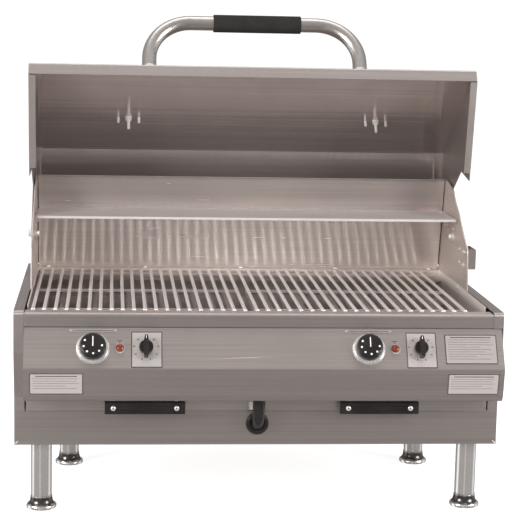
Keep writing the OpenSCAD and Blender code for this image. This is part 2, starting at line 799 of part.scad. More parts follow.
module cable_gland() {
  gland_z = [-1.6, 10];
  color(black) place() translate([cable_x, cable_y, box_bottom]) difference() {
    union() {
      translate([0, 0, gland_z[0]]) cylinder(r = gland_r, h = gland_z[1] - gland_z[0]);
      translate([0, 0, sheet]) cylinder(r = lock_nut[0], h = lock_nut[1], $fn = 6);
    }
    translate([0, 0, gland_z[0] - cut]) cylinder(r = cable_r + play, h = gland_z[1] - gland_z[0] + 2 * cut);
  }
}

module cable_bushing() {
  inner = cable_r + play;
  color(black) place() translate([cable_x, base_y, bushing_z]) rotate([90, 0, 0]) rotate_extrude()
    polygon([[inner + 1, 0], [19.3, 0], [19.3, 2.5], [17, 4.8], [inner + 3, 5.4], [inner + 1, 4.4]]);
}

terminal_lo = [cable_x - 45, 8, -218];
terminal_hi = [cable_x + 45, 78, -178];
terminal_wall = 2;

module terminal_box() {
  wall = terminal_wall * [1, 1, 1];
  color("dimgray") place() difference() {
    block(terminal_lo, terminal_hi);
    block(terminal_lo + wall, terminal_hi - wall);
    rod_y(cable_x, terminal_lo[1] - cut, terminal_lo[1] + terminal_wall + cut, bushing_z, cable_r + play);
  }
}

// Gland for the mains lead, at the back
module supply_inlet() {
  color(black) place() translate([inlet_x, body_d, bushing_z]) rotate([-90, 0, 0]) difference() {
    union() {
      translate([0, 0, -12]) cylinder(r = inlet_thread_r, h = 24);
      translate([0, 0, -sheet - inlet_nut[1]]) cylinder(r = inlet_nut[0], h = inlet_nut[1], $fn = 6);
      cylinder(r = inlet_nut[0], h = inlet_nut[1] + 1, $fn = 6);
      translate([0, 0, inlet_nut[1]]) cylinder(r = inlet_dome[0], h = inlet_dome[1] - inlet_nut[1]);
    }
    translate([0, 0, -12 - cut]) cylinder(r = inlet_r, h = 12 + inlet_dome[1] + 2 * cut);
  }
}

// ---------- legs ----------
foot_h = 22;
stem_r = 7;
pad_half = 30;                     // square plate that holds a leg, inside the base pan
pad_t = 4;
pad_screw = 24;                    // offset of its screws from the leg's middle
leg_wall = 1.6;
leg_plug = 12;                     // solid end that takes the foot's stem
stem_up = 38;
leg_spots = [for (spot = [front_leg, rear_leg], side = [-1, 1]) [side * spot[0], spot[1]]];

module legs() {
  bottom = -total_h + foot_h + rest_gap;
  pad = -body_h - base_h + sheet;
  color(steel) place() for (p = leg_spots) translate([p[0], p[1], 0]) difference() {
    union() {
      translate([0, 0, bottom]) cylinder(r = leg_d / 2, h = pad + pad_t - bottom);
      translate([-pad_half, -pad_half, pad]) cube([2 * pad_half, 2 * pad_half, pad_t]);
    }
    translate([0, 0, bottom + leg_plug]) cylinder(r = leg_d / 2 - leg_wall, h = pad - bottom - leg_plug);
    translate([0, 0, bottom - cut]) cylinder(r = stem_r + 0.06, h = leg_plug + 2 * cut);
  }
}

// Flanged foot on a threaded stem
module foot(i) {
  r = foot_d / 2;
  neck = leg_d / 2 + 1;
  rim = [[0, 0], [r - 2, 0], [r - 0.6, 0.8], [r, 2.4], [r, 4.6], [r - 0.7, 6.2], [r - 2.4, 7]];
  flare = [[neck + 3.2, 8.4], [neck + 1.5, 11], [neck + 0.5, 14], [neck, 17.5], [neck, foot_h - 0.8],
    [neck - 0.8, foot_h]];
  stem = [[stem_r, foot_h], [stem_r, foot_h + stem_up], [stem_r - 1, foot_h + stem_up + 1],
    [0, foot_h + stem_up + 1]];
  color(steel) place() translate([leg_spots[i][0], leg_spots[i][1], -total_h])
    rotate_extrude() polygon(concat(rim, flare, stem));
}
module foot_front_left() { foot(0); }
module foot_front_right() { foot(1); }
module foot_rear_left() { foot(2); }
module foot_rear_right() { foot(3); }

// ---------- small fasteners ----------
step_screw_pitch = 184;
step_screw_r = 3.6;
pad_nut = [5, 4];
rivet_r = 3.4;
plate_rivets = [[245, -2], [412, -2], [306, 97], [376, 97]]; // Y and Z on each side plate
bracket_rivets = [[214, 44], [214, 68], [250, 44], [250, 68]];

module sheet_screws() {
  color(steel) place() {
    for (i = [-2:2]) translate([i * step_screw_pitch, step_y + 8, sheet]) round_head(step_screw_r);
    for (p = leg_spots, a = [-1, 1], b = [-1, 1])
      translate([p[0] + a * pad_screw, p[1] + b * pad_screw, -body_h - base_h + sheet + pad_t])
        cylinder(r = pad_nut[0], h = pad_nut[1], $fn = 6);
  }
}

module rivet(x, spot) { translate([x, spot[0], spot[1]]) rotate([0, -90, 0]) round_head(rivet_r); }

module rivets() {
  color(steel) place() {
    for (side = [-1, 1], spot = plate_rivets) on_side(side) rivet(liner_x - sheet, spot);
    for (spot = bracket_rivets) rivet(liner_x, spot);
  }
}

base_pan();
left_side_panel();
right_side_panel();
rear_wall();
front_rail();
control_fascia();
control_back_plate();
firebox_liner();
heat_reflector();
left_heating_element();
right_heating_element();
element_supports();
left_grate();
right_grate();
left_side_plate();
right_side_plate();
back_panel();
shelf_brackets();
warming_shelf();
motor_bracket();
hood_shell();
left_hood_end();
right_hood_end();
hood_handle();
handle_flanges();
handle_grip();
hood_inner_nuts();
pivot_bolts();
pivot_nuts();
hood_stops();
thermostat_dials();
left_thermostat_knob();
right_thermostat_knob();
thermostats();
pilot_lamp_bezels();
pilot_lamp_lenses();
timer_plates();
left_timer_knob();
right_timer_knob();
timers();
data_plates();
tray_runners();
left_drip_tray();
right_drip_tray();
left_tray_handle();
right_tray_handle();
tray_handle_screws_left();
tray_handle_screws_right();
cable_gland();
supply_cable();
cable_bushing();
terminal_box();
supply_inlet();
legs();
foot_front_left();
foot_front_right();
foot_rear_left();
foot_rear_right();
sheet_screws();
rivets();
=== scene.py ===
"""Looks of an electric charbroiler grill with an open hood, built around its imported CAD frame.

Lengths are in metres in the frame of the part: X across, Y to the back, Z up, floor at Z 0.
"""

import json
import math

import bmesh
import bpy
from mathutils import Matrix, Vector


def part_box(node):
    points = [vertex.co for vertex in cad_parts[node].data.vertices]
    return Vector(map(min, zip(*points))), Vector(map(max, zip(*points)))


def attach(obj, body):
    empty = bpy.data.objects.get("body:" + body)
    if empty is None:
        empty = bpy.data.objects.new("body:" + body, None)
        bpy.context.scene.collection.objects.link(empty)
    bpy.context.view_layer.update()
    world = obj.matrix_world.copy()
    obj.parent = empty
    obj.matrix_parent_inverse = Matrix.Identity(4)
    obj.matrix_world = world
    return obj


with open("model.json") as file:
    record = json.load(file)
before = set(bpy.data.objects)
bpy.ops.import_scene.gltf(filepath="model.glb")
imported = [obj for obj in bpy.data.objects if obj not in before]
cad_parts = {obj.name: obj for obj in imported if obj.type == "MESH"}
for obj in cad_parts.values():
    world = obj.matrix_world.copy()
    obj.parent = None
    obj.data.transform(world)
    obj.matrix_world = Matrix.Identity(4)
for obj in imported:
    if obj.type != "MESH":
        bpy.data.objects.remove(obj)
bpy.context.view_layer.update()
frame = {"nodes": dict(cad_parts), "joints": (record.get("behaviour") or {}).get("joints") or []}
nodes = frame["nodes"]
joints = {joint["name"]: joint for joint in frame["joints"]}
MM = 0.001
SIDES = ("left", "right")


# ---------- node trees ----------
class Tree:
    """A node tree, with short calls for its nodes."""

    def __init__(self, tree):
        self.tree = tree

    def fill(self, node, values):
        """Sets a node's inputs to values, or links them where a value is another node's output."""
        for key, value in values.items():
            if isinstance(value, bpy.types.NodeSocket):
                self.tree.links.new(value, node.inputs[key])
            else:
                node.inputs[key].default_value = value

    def node(self, kind, inputs=None, **settings):
        made = self.tree.nodes.new("ShaderNode" + kind)
        for key, value in settings.items():
            setattr(made, key, value)
        self.fill(made, inputs or {})
        return made

    def maths(self, operation, first, second):
        return self.node("Math", {0: first, 1: second}, operation=operation).outputs["Value"]

    def spread(self, value, low, high, from_low=0.3, from_high=0.7):
        """Value, stretched so that from_low becomes low and from_high becomes high."""
        sockets = {"Value": value, "From Min": from_low, "From Max": from_high, "To Min": low, "To Max": high}
        return self.node("MapRange", sockets).outputs["Result"]

    def greys(self, share, stops):
        """Grey that runs through stops, which are pairs of a place from 0 to 1 and a grey."""
        ramp = self.node("ValToRGB", {"Fac": share})
        elements = ramp.color_ramp.elements
        for end, (_, grey) in ((0, stops[0]), (1, stops[-1])):
            elements[end].color = (grey, grey, grey, 1)
        for place, grey in stops[1:-1]:
            elements.new(place).color = (grey, grey, grey, 1)
        return ramp.outputs["Color"]


class Paint(Tree):
    """A material and its node tree."""

    def __init__(self, name):
        self.material = bpy.data.materials.new(name)
        self.material.use_nodes = True
        super().__init__(self.material.node_tree)
        self.shader = self.tree.nodes["Principled BSDF"]
        self.where = self.node("TexCoord").outputs["Object"]

    def set(self, **values):
        """Sets the shader's inputs; an underscore in a name stands for a space."""
        self.fill(self.shader, {key.replace("_", " "): value for key, value in values.items()})

    def height(self):
        return self.node("SeparateXYZ", {"Vector": self.where}).outputs["Z"]

    def noise(self, stretch, detail=2.0, rough=0.5, twist=0.0):
        """Noise from 0 to 1; stretch is its cells to the metre, one number or one for each axis."""
        if isinstance(stretch, float):
            stretch = (stretch, stretch, stretch)
        scaled = self.node("Mapping", {"Vector": self.where, "Scale": stretch}).outputs["Vector"]
        sockets = {"Vector": scaled, "Scale": 1.0, "Detail": detail, "Roughness": rough, "Distortion": twist}
        return self.node("TexNoise", sockets).outputs["Fac"]

    def blend(self, share, first, second):
        """Colour between first and second."""
        ends = [end if isinstance(end, bpy.types.NodeSocket) else (*end, 1) for end in (first, second)]
        return self.node("Mix", {"Factor": share, 6: ends[0], 7: ends[1]}, data_type="RGBA").outputs[2]

    def bump(self, height, distance, strength, under=None):
        sockets = {"Height": height, "Distance": distance, "Strength": strength}
        if under is not None:
            sockets["Normal"] = under
        return self.node("Bump", sockets).outputs["Normal"]

    def across_grain(self, grain):
        """Tangent across the brushing, which runs along grain."""
        normal = self.node("NewGeometry").outputs["Normal"]
        return self.node("VectorMath", {0: normal, 1: grain}, operation="CROSS_PRODUCT").outputs["Vector"]


# ---------- camera, light and floor ----------
CAMERA_AT = (-0.2513, -2.9414, 0.8497)
CAMERA_TURN = (5.067, 8.558, 1.205)     # degrees to the right, degrees down, and degrees of roll
CAMERA_LENS = 117.1
CAMERA_SENSOR = 36

# Greys of the studio from straight down to straight up
SKY = ((0.0, 0.3), (0.3, 0.3), (0.48, 0.34), (0.62, 0.44), (0.85, 0.62), (1.0, 0.85))
SKY_LIGHT = 0.8
# Bright walls of the studio: degrees to the right of the front, and how much light each adds near the horizon
WALLS = ((-180, 0), (-122, 0), (-112, 1.3), (-98, 1.3), (-84, 0), (-20, 0), (-16, 0.55), (-12, 0.55), (-8, 0),
         (84, 0), (97, 0.8), (112, 0.8), (122, 0), (180, 0))
WALL_FADE = (0.1, 0.3)                  # heights of a ray between which the walls fade out
BACKGROUND_LIGHT = 1.05

# Area lights: where each stands, what it points at, its two sides and its power in watts
LIGHTS = {
    "key": ((-2.6, -1.9, 1.2), (0, 0, 0.45), (1.3, 1.3), 90),
    "fill": ((2.6, -1.9, 1.1), (0, 0, 0.45), (1.3, 1.3), 74),
    "top": ((0, 0.4, 2.8), (0, 0.1, 0.4), (2.4, 1.2), 16),
}

FLOOR_HALF = 6
FLOOR_GREY = 0.55
FLOOR_ROUGHNESS = 0.8
FLOOR_GLOW = 0.82


def add_object(name, data):
    made = bpy.data.objects.new(name, data)
    bpy.context.scene.collection.objects.link(made)
    return made


def make_camera():
    """The eye stands left of the middle, a little above the hood, and looks slightly down."""
    data = bpy.data.cameras.new("camera")
    data.sensor_width = CAMERA_SENSOR
    data.lens = CAMERA_LENS
    camera = add_object("camera", data)
    yaw, pitch, roll = (math.radians(a) for a in CAMERA_TURN)
    ahead = Vector((math.sin(yaw) * math.cos(pitch), math.cos(yaw) * math.cos(pitch), -math.sin(pitch)))
    level = Vector((math.cos(yaw), -math.sin(yaw), 0))
    down = ahead.cross(level)
    right = level * math.cos(roll) - down * math.sin(roll)
    up = -(level * math.sin(roll) + down * math.cos(roll))
    turn = Matrix((right, up, -ahead)).transposed().to_4x4()
    camera.matrix_world = Matrix.Translation(CAMERA_AT) @ turn
    bpy.context.scene.camera = camera


def area_light(name, at, towards, size, power):
    """Rectangular light of two sides, size, that points towards a place."""
    data = bpy.data.lights.new(name, "AREA")
    data.shape = "RECTANGLE"
    data.size, data.size_y = size
    data.energy = power
    light = add_object(name, data)
    light.location = at
    light.rotation_euler = (Vector(towards) - Vector(at)).to_track_quat("-Z", "Y").to_euler()


def make_studio():
    """White room: the camera sees plain white, and the metal mirrors soft greys with a few bright walls."""
    world = bpy.data.worlds.new("studio")
    bpy.context.scene.world = world
    world.use_nodes = True
    world.node_tree.nodes.clear()
    room = Tree(world.node_tree)
    ray = room.node("SeparateXYZ", {"Vector": room.node("TexCoord").outputs["Generated"]}).outputs
    sky = room.greys(room.spread(ray["Z"], 0, 1, -1, 1), SKY)
    turn = room.maths("ARCTAN2", ray["X"], room.maths("MULTIPLY", ray["Y"], -1))
    bands = [((degrees + 180) / 360, grey) for degrees, grey in WALLS]
    walls = room.greys(room.spread(turn, 0, 1, -math.pi, math.pi), bands)
    low = room.spread(ray["Z"], 1, 0, *WALL_FADE)
    lit = room.node("MixRGB", {"Fac": low, 1: sky, 2: walls}, blend_type="ADD").outputs["Color"]
    soft = room.node("Background", {"Color": lit, "Strength": SKY_LIGHT}).outputs["Background"]
    white = room.node("Background", {"Color": (1, 1, 1, 1), "Strength": BACKGROUND_LIGHT})
    seen = room.node("LightPath").outputs["Is Camera Ray"]
    shown = room.node("MixShader", {"Fac": seen, 1: soft, 2: white.outputs["Background"]})
    room.node("OutputWorld", {"Surface": shown.outputs["Shader"]})
    for name, (at, towards, size, power) in LIGHTS.items():
        area_light(name, at, towards, size, power)


def make_floor():
    """Pale paper that glows, so that it melts into the white background; the metal does not mirror it."""
    mesh = bpy.data.meshes.new("floor")
    corners = [(x * FLOOR_HALF, y * FLOOR_HALF, 0) for x, y in ((-1, -1), (1, -1), (1, 1), (-1, 1))]
    mesh.from_pydata(corners, [], [(0, 1, 2, 3)])
    floor = add_object("floor", mesh)
    material = bpy.data.materials.new("floor_paper")
    material.use_nodes = True
    shader = material.node_tree.nodes["Principled BSDF"]
    shader.inputs["Base Color"].default_value = (FLOOR_GREY, FLOOR_GREY, FLOOR_GREY, 1)
    shader.inputs["Roughness"].default_value = FLOOR_ROUGHNESS
    shader.inputs["Emission Color"].default_value = (1, 1, 1, 1)
    shader.inputs["Emission Strength"].default_value = FLOOR_GLOW
    mesh.materials.append(material)
    floor.visible_glossy = False


# ---------- materials ----------
GRAIN_X = (1.0, 0.06, 0.0)
GRAIN_Y = (0.06, 1.0, 0.0)
# Cells to the metre along and across the grain, of the brushed lines and of broader bands among them
LINES = (2.5, 620.0)
BANDS = (1.2, 150.0)
# Painted shade on the back panel: a brown darkening that grows with height, from just below the warming
# shelf's top
TOP_SHADE_BROWN = (0.10, 0.085, 0.075)
TOP_SHADE_FADE = 40 * MM                    # height in which the painted shade grows from nothing to its full share
TOP_SHADE_START = 15 * MM                   # how far below the top of the warming shelf it begins
TOP_SHADE_SHARE = 0.5


def shaded(colour, factor):
    """Colour, darker or lighter by a factor."""
    return tuple(part * factor for part in colour)


def steel(name, colour, roughness, grain=GRAIN_X, wave=1.0, anisotropic=0.7, stain=0.12, metallic=0.95,
          cut=0.5, top_shade=None):
    """Brushed sheet: fine lines along the grain, soft waves in the sheet, and faint rubbed patches.

    cut is how deep the lines look. The last argument, when given, is the height where painted shade
    begins, a brown darkening that grows upwards, and how much of the sheet's colour it hides at full
    strength.
    """
    paint = Paint(name)
    fine, coarse = ([cells[0] if part == 1.0 else cells[1] for part in grain] for cells in (LINES, BANDS))
    lines = paint.noise(fine, detail=3.0, rough=0.65)
    bands = paint.noise(coarse)
    patches = paint.noise(5.0, detail=4.0, rough=0.6, twist=0.4)
    light = tuple(min(1.0, part) for part in shaded(colour, 1 + stain * 0.7))
    lined = paint.blend(paint.spread(lines, 0, 1), shaded(colour, 1 - stain), light)
    wear_and_shade = paint.blend(paint.spread(patches, 0, 0.5), lined, shaded(colour, 1 - 1.6 * stain))
    # Painted shade: above the given height the colour darkens towards brown, more and more with height
    if top_shade:
        start, share = top_shade
        darkening = paint.spread(paint.height(), 0.0, share, start, start + TOP_SHADE_FADE)
        wear_and_shade = paint.blend(darkening, wear_and_shade, TOP_SHADE_BROWN)
    rubbed = paint.spread(patches, roughness - 0.04, roughness + 0.06)
    rough = paint.maths("ADD", rubbed, paint.spread(bands, -0.05, 0.05))
    waves = paint.noise((9.0, 2.0, 2.0), detail=1.0)
    brushed = paint.bump(lines, 0.04 * MM, cut, paint.bump(waves, 4 * MM * wave, 0.25))
    paint.set(Base_Color=wear_and_shade, Metallic=metallic, Roughness=rough, Anisotropic=anisotropic)
    paint.set(Normal=brushed, Tangent=paint.across_grain(grain))
    return paint.material


def bright_metal(name, colour, roughness, scratches=260.0, metallic=1.0):
    """Polished tube, rod or fastener with light handling marks."""
    paint = Paint(name)
    marks = paint.noise(scratches, detail=3.0, rough=0.6, twist=0.6)
    cloud = paint.noise(14.0, detail=3.0)
    tint = paint.blend(paint.spread(cloud, 0, 1), shaded(colour, 0.9), colour)
    rough = paint.spread(marks, roughness * 0.9, roughness * 1.15)
    paint.set(Base_Color=tint, Metallic=metallic, Roughness=rough, Normal=paint.bump(marks, 0.02 * MM, 0.15))
    return paint.material


def foot_cup(name):
    """Polished foot: a bright rim, and the hollow flare above it painted near black as a painted reflection
    of the body's dark underside.
    """
    paint = Paint(name)
    marks = paint.noise(160.0, detail=3.0, rough=0.6)
    level = paint.maths("ADD", paint.height(), paint.spread(marks, -1.5 * MM, 1.5 * MM))
    above_rim = paint.spread(level, 0.0, 1.0, 6.5 * MM, 8.5 * MM)
    below_stem = paint.spread(level, 1.0, 0.0, 19 * MM, 22 * MM)
    # Painted reflection: the band between rim and stem is painted near black for the dark underside that the
    # flare mirrors
    painted_dark_band = paint.maths("MULTIPLY", above_rim, below_stem)
    paint.set(Base_Color=paint.blend(painted_dark_band, (0.86, 0.82, 0.79), (0.10, 0.09, 0.085)), Metallic=0.9)
    paint.set(Roughness=paint.spread(marks, 0.16, 0.28), Normal=paint.bump(marks, 0.03 * MM, 0.4))
    return paint.material


def heated_rod(name):
    """Round bar that has been hot: bright, with straw tints in patches, and a faint patchy darkening towards
    the bottom of the grate.
    """
    paint = Paint(name)
    heat = paint.noise((16.0, 5.0, 30.0), detail=3.0, rough=0.6)
    darkening = paint.noise((50.0, 20.0, 90.0))
    bright, straw, deep_brown = (0.98, 0.94, 0.92), (0.88, 0.81, 0.77), (0.16, 0.13, 0.115)
    tint = paint.blend(paint.spread(heat, 0.0, 0.55, 0.42, 0.78), bright, straw)
    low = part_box("left_grate")[0].z
    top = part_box("left_grate")[1].z
    # Darker towards the bottom of the grate, in patches, by at most a small share of the deep brown
    depth = paint.spread(paint.height(), 0.06, 0.0, low, top - 3 * MM)
    bottom_share = paint.maths("MULTIPLY", depth, paint.spread(darkening, 0.75, 1.0))
    paint.set(Base_Color=paint.blend(bottom_share, tint, deep_brown), Metallic=0.58)
    paint.set(Roughness=paint.spread(darkening, 0.30, 0.36), Normal=paint.bump(darkening, 0.01 * MM, 0.05))
    return paint.material


def fired_steel(name, colour, roughness):
    """Inner sheet that sees heat: warm and blue-grey clouds, a dull film and fine speckle."""
    paint = Paint(name)
    cloud = paint.noise(6.0, detail=4.0, rough=0.6, twist=0.8)
    speck = paint.noise(420.0)
    tints = ((1.03, 0.95, 0.90), (0.80, 0.80, 0.82))
    warm, cool = (tuple(c * f for c, f in zip(colour, tint)) for tint in tints)
    base = paint.blend(paint.spread(cloud, 0, 1), warm, cool)
    tinted = paint.blend(paint.spread(speck, 0, 0.35), base, shaded(colour, 0.45))
    rough = paint.spread(cloud, roughness - 0.06, roughness + 0.1)
    paint.set(Base_Color=tinted, Metallic=0.35, Roughness=rough, Normal=paint.bump(speck, 0.06 * MM, 0.35))
    return paint.material


def moulded(name, colour, roughness, grain=700.0, dusty=0.07):
    """Moulded plastic or rubber: a fine grain, and a lighter dust that lies unevenly."""
    paint = Paint(name)
    cells = paint.noise(grain)
    dust = paint.noise(22.0, detail=4.0, rough=0.6)
    dust_grey = 0.35
    pale = tuple(c + (dust_grey - c) * dusty if c < dust_grey else c * 0.94 for c in colour)
    base = paint.blend(paint.spread(dust, 0, 1), colour, pale)
    rough = paint.spread(cells, roughness - 0.05, roughness + 0.07)
    paint.set(Base_Color=base, Roughness=rough, Normal=paint.bump(cells, 0.03 * MM, 0.5))
    paint.set(Specular_IOR_Level=0.3)
    return paint.material


def foam(name):
    """Closed-cell foam sleeve: small pits and a chalky sheen."""
    paint = Paint(name)
    cells = paint.node("TexVoronoi", {"Vector": paint.where, "Scale": 620.0}).outputs["Distance"]
    cloud = paint.noise(35.0, detail=3.0)
    base = paint.blend(paint.spread(cells, 0, 1, 0.1, 0.7), (0.006, 0.0055, 0.005), (0.020, 0.018, 0.016))
    mottled = paint.blend(paint.spread(cloud, 0, 0.3), base, (0.030, 0.027, 0.024))
    paint.set(Base_Color=mottled, Roughness=0.78, Normal=paint.bump(cells, 0.3 * MM, 0.6))
    paint.set(Specular_IOR_Level=0.25)
    return paint.material


def lens(name):
    """Tinted translucent lamp lens."""
    paint = Paint(name)
    ripple = paint.noise(500.0, detail=1.0)
    cloud = paint.noise(90.0)
    base = paint.blend(paint.spread(cloud, 0, 1), (0.13, 0.022, 0.010), (0.22, 0.045, 0.022))
    paint.set(Base_Color=base, Roughness=0.16, IOR=1.5, Normal=paint.bump(ripple, 0.05 * MM, 0.4))
    paint.set(Subsurface_Weight=0.35, Subsurface_Scale=0.004)
    return paint.material


def make_materials():
    """Every material, by the name of its slot in the record or by a name that only this script uses."""
    # Painted shade on the back panel begins just below the top of the warming shelf
    top_shade = (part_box("warming_shelf")[1].z - TOP_SHADE_START, TOP_SHADE_SHARE)
    # Painted light: the brushed stainless is copied with lighter or darker base colours and less metallic
    # share part by part, standing in for how much light each part gets: the tray, side plates, back panel and
    # shelf lighter, the side panels, hood ends and hood darker than the plain stainless
    return {
        "stainless": steel("stainless_brushed_x", (0.60, 0.525, 0.49), 0.4, wave=0.5, stain=0.16),
        "stainless_tray": steel("stainless_tray_x", (0.70, 0.61, 0.57), 0.4, stain=0.18),
        "stainless_side": steel("stainless_brushed_y", (0.74, 0.66, 0.62), 0.38, GRAIN_Y, metallic=0.7),
        "stainless_flank": steel("stainless_flank_y", (0.50, 0.44, 0.415), 0.4, GRAIN_Y, metallic=0.85),
        "stainless_ends": steel("stainless_ends_y", (0.45, 0.395, 0.37), 0.4, GRAIN_Y, metallic=0.85),
        "stainless_hood": steel("stainless_hood_x", (0.52, 0.455, 0.43), 0.15, wave=0.05, anisotropic=1.0,
                                metallic=0.78, cut=0.08),
        "stainless_shelf": steel("stainless_shelf_x", (0.93, 0.86, 0.83), 0.38, metallic=0.5),
        "stainless_back": steel("stainless_back_x", (0.86, 0.78, 0.74), 0.21, wave=0.15, anisotropic=1.0,
                                metallic=0.66, cut=0.03, top_shade=top_shade),
        "inner_steel": fired_steel("steel_heat_tinted", (0.86, 0.81, 0.78), 0.45),
        "element_sheath": fired_steel("element_sheath_dark", (0.56, 0.52, 0.50), 0.55),
        "grate_rods": heated_rod("grate_rod_steel"),
        # Painted light: the legs get a lighter, less metallic copy of the polished tube and the handle a
        # darker one, standing in for the light each gets
        "polished_tube": bright_metal("tube_polished", (0.60, 0.55, 0.52), 0.3),
        "leg_tube": bright_metal("leg_tube_polished", (0.82, 0.775, 0.745), 0.2, metallic=0.88),
        "foot_cup": foot_cup("foot_cup_polished"),
        "grip_foam": foam("grip_foam_black"),
        "fasteners": bright_metal("fastener_steel", (0.92, 0.89, 0.87), 0.3, 900.0, 0.7),
        "dial_metal": bright_metal("dial_ring_satin", (0.80, 0.78, 0.76), 0.28, 500.0, 0.8),
        "black_plastic": moulded("phenolic_black", (0.011, 0.008, 0.0075), 0.3, dusty=0.03),
        "switch_housing": moulded("housing_grey", (0.11, 0.11, 0.11), 0.55),
        "lamp_bezel": moulded("bezel_pale", (0.42, 0.38, 0.36), 0.35),
        "lamp_lens": lens("lamp_lens_red"),
        "timer_plate": bright_metal("timer_plate_satin", (0.62, 0.56, 0.54), 0.42, 420.0, 0.7),
        "label_plate": moulded("label_pale", (0.33, 0.295, 0.28), 0.42),
        "cable_rubber": moulded("rubber_black_gloss", (0.010, 0.008, 0.0075), 0.25, 300.0, dusty=0.03),
        "print_dark": moulded("print_dark_grey", (0.045, 0.043, 0.042), 0.5),
        "print_white": moulded("print_white", (0.82, 0.80, 0.77), 0.45),
    }


# Nodes whose material is not the one that their slot names: mostly lighter or darker copies of the stainless
# and the polished tube, which paint in the light each part gets, and the feet, whose hollow carries a painted
# reflection
OWN_MATERIAL = {
    "hood_shell": "stainless_hood",
    "back_panel": "stainless_back",
    "warming_shelf": "stainless_shelf",
    "shelf_brackets": "stainless_side",
    "legs": "leg_tube",
    **{f"{side}_drip_tray": "stainless_tray" for side in SIDES},
    **{f"{side}_hood_end": "stainless_ends" for side in SIDES},
    **{f"{side}_side_panel": "stainless_flank" for side in SIDES},
    **{f"{side}_side_plate": "stainless_side" for side in SIDES},
    **{f"foot_{place}_{side}": "foot_cup" for place in ("front", "rear") for side in SIDES},
}


def dress_frame(paints):
    """Gives each CAD node its material, softened edges and clean shading."""
    for name, node in nodes.items():
        slot = node.material_slots[0].material.name.split(".")[0]
        node.material_slots[0].material = paints[OWN_MATERIAL.get(name, slot)]
        weld = node.modifiers.new("weld", "WELD")
        weld.merge_threshold = 0.02 * MM
        edge = node.modifiers.new("edge", "BEVEL")
        edge.width = 0.35 * MM
        edge.segments = 2
        edge.limit_method = "ANGLE"
        edge.angle_limit = math.radians(35)
        shade = node.modifiers.new("shade", "WEIGHTED_NORMAL")
        shade.keep_sharp = False
        shade.weight = 80


# ---------- shapes of detail pieces ----------
SINK = 0.1 * MM                         # how far a detail reaches into the surface under it


def turns(count):
    """Angles of a full turn in equal steps, in radians."""
    return [2 * math.pi * i / count for i in range(count)]


class Piece:
    """One mesh made of small shapes. Each is drawn in a local frame: X right, Y up, Z out of the surface."""

    def __init__(self, name):
        self.name = name
        self.mesh = bmesh.new()
        self.at = Matrix()

    def loops(self, rings):
        """Joins rings of equally many points, and closes the first and the last."""
        made = [[self.mesh.verts.new(self.at @ Vector(point)) for point in ring] for ring in rings]
        count = len(made[0])
        for low_ring, high_ring in zip(made, made[1:]):
            for i in range(count):
                j = (i + 1) % count
                self.mesh.faces.new((low_ring[i], low_ring[j], high_ring[j], high_ring[i]))
        self.mesh.faces.new(list(reversed(made[0])))
        self.mesh.faces.new(made[-1])

    def tile(self, x, y, width, height, thick):
        """Flat tile around (x, y) with chamfered edges."""
        edge = min(thick, width / 4, height / 4)
        rings = []
        for inset, z in ((0, -SINK), (0, thick - edge), (edge, thick)):
            a, b = width / 2 - inset, height / 2 - inset
            rings.append([(x - a, y - b, z), (x + a, y - b, z), (x + a, y + b, z), (x - a, y + b, z)])
        self.loops(rings)

    def border(self, width, height, line, thick):
        """Frame of four tiles just inside a rectangle."""
        for side in (-1, 1):
            self.tile(0, side * (height - line) / 2, width, line, thick)
            self.tile(side * (width - line) / 2, 0, line, height - 2 * line, thick)

    def dome(self, x, y, radius, height, sides=20, rings=4):
        """Round cap around (x, y)."""
        shape = [[(x + radius * math.cos(turn), y + radius * math.sin(turn), -SINK) for turn in turns(sides)]]
        for k in range(rings):
            lift = math.pi / 2 * k / rings
            r, z = radius * math.cos(lift), height * math.sin(lift)
            shape.append([(x + r * math.cos(turn), y + r * math.sin(turn), z) for turn in turns(sides)])
        self.loops(shape)

    def ray(self, turn, inner, outer, width, thick):
        """Tile that runs outwards from the middle, at turn radians clockwise from the top."""
        upright = self.at
        self.at = upright @ Matrix.Rotation(-turn, 4, "Z")
        self.tile(0, (inner + outer) / 2, width, outer - inner, thick)
        self.at = upright

    def finish(self, body, material, smooth=False):
        """Makes the object, which rides on body and carries the given material."""
        data = bpy.data.meshes.new(self.name)
        self.mesh.to_mesh(data)
        self.mesh.free()
        piece = add_object(self.name, data)
        data.materials.append(material)
        for face in data.polygons:
            face.use_smooth = smooth
        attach(piece, body)


def surface(middle, out):
    """Local frame on a surface that faces out: X to the right, Y up the surface."""
    out = Vector(out).normalized()
    right = Vector((1, 0, 0))
    up = out.cross(right).normalized()
    return Matrix.Translation(middle) @ Matrix((right, up, out)).transposed().to_4x4()


def loose_parts(mesh):
    """Sets of faces of a bmesh that hang together."""
    left = set(mesh.faces)
    while left:
        reached, ahead = set(), [left.pop()]
        while ahead:
            face = ahead.pop()
            reached.add(face)
            near = {other for edge in face.edges for other in edge.link_faces} & left
            left -= near
            ahead.extend(near)
        yield reached


def plates_of(name):
    """Front frame, width and height of each separate flat plate of a node.

    The plates that are least tall come first, and equally tall ones follow each other from left to right.
    """
    mesh = bmesh.new()
    mesh.from_mesh(nodes[name].data)
    bmesh.ops.remove_doubles(mesh, verts=mesh.verts, dist=0.01 * MM)
    found = []
    for faces in loose_parts(mesh):
        front = max((f for f in faces if f.normal.y < 0), key=lambda f: f.calc_area())
        at = surface(Vector(), front.normal)
        corners = [at.inverted() @ vert.co for face in faces for vert in face.verts]
        lows, highs = ([pick(c[i] for c in corners) for i in range(3)] for pick in (min, max))
        middle = at @ Vector(((lows[0] + highs[0]) / 2, (lows[1] + highs[1]) / 2, highs[2]))
        found.append((surface(middle, front.normal), highs[0] - lows[0], highs[1] - lows[1]))
    mesh.free()
    return sorted(found, key=lambda plate: (round(plate[2] / MM, 1), plate[0].translation.x))


